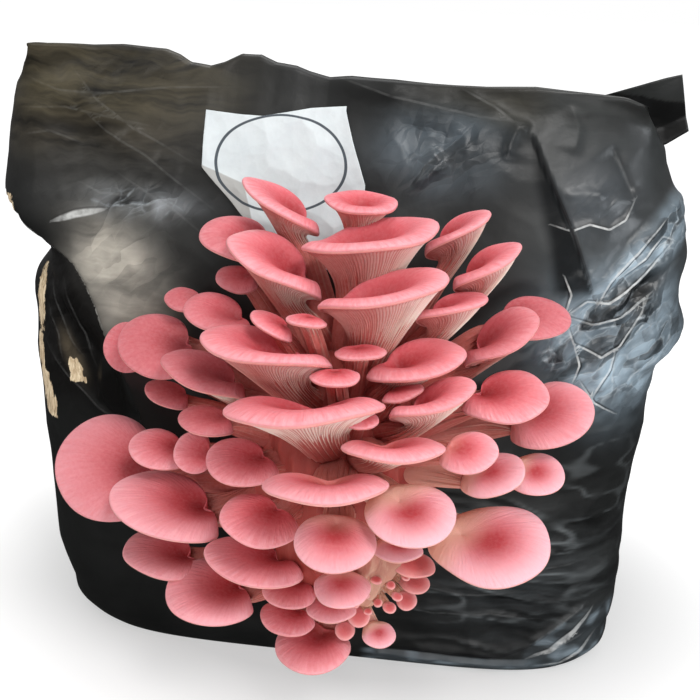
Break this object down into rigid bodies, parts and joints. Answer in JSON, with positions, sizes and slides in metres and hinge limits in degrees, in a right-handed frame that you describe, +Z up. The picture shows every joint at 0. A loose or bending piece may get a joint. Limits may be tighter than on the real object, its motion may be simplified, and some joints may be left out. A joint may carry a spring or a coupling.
{
  "type": "oyster mushroom grow bag",
  "caption": "Filled black film grow bag standing on its base, with a paper label and a wide cluster of pink oyster mushrooms growing from the hole in its front.",
  "frame": {"origin": "middle of the bag's flat resting face", "axes": "+Z up, -Y out of the front with the mushrooms, +X to the right seen from the front"},
  "size_m": [0.3316, 0.2908, 0.292],
  "materials": {
    "film": "soft glossy black film",
    "substrate": "packed straw and sawdust",
    "label": "matt white",
    "base_tissue": "matt, moist",
    "mushroom": "matt, velvety"
  },
  "bodies": {
    "root": {"cluster_base": "base_tissue", "grow_bag": "film", "label": "label", "mushroom_bottom_1": "mushroom", "mushroom_bottom_2": "mushroom", "mushroom_bottom_3": "mushroom", "mushroom_bottom_4": "mushroom", "mushroom_bottom_5": "mushroom", "mushroom_bottom_6": "mushroom", "mushroom_front_1": "mushroom", "mushroom_front_2": "mushroom", "mushroom_front_3": "mushroom", "mushroom_front_4": "mushroom", "mushroom_left_1": "mushroom", "mushroom_left_2": "mushroom", "mushroom_left_3": "mushroom", "mushroom_left_4": "mushroom", "mushroom_left_5": "mushroom", "mushroom_lower_left_1": "mushroom", "mushroom_lower_left_10": "mushroom", "mushroom_lower_left_2": "mushroom", "mushroom_lower_left_3": "mushroom", "mushroom_lower_left_4": "mushroom", "mushroom_lower_left_5": "mushroom", "mushroom_lower_left_6": "mushroom", "mushroom_lower_left_7": "mushroom", "mushroom_lower_left_8": "mushroom", "mushroom_lower_left_9": "mushroom", "mushroom_middle_1": "mushroom", "mushroom_middle_2": "mushroom", "mushroom_middle_3": "mushroom", "mushroom_middle_4": "mushroom", "mushroom_middle_5": "mushroom", "mushroom_middle_6": "mushroom", "mushroom_middle_7": "mushroom", "mushroom_middle_8": "mushroom", "mushroom_right_1": "mushroom", "mushroom_right_2": "mushroom", "mushroom_right_3": "mushroom", "mushroom_right_4": "mushroom", "mushroom_right_5": "mushroom", "mushroom_right_6": "mushroom", "mushroom_right_7": "mushroom", "mushroom_right_8": "mushroom", "mushroom_top_1": "mushroom", "mushroom_top_2": "mushroom", "mushroom_top_3": "mushroom", "mushroom_top_4": "mushroom", "mushroom_top_5": "mushroom", "mushroom_top_6": "mushroom", "mushroom_top_7": "mushroom", "mushroom_upper_left_1": "mushroom", "mushroom_upper_left_2": "mushroom", "mushroom_upper_left_3": "mushroom", "mushroom_upper_left_4": "mushroom", "mushroom_upper_left_5": "mushroom", "mushroom_upper_left_6": "mushroom", "mushroom_upper_left_7": "mushroom", "substrate_block": "substrate"}
  },
  "joints": []
}
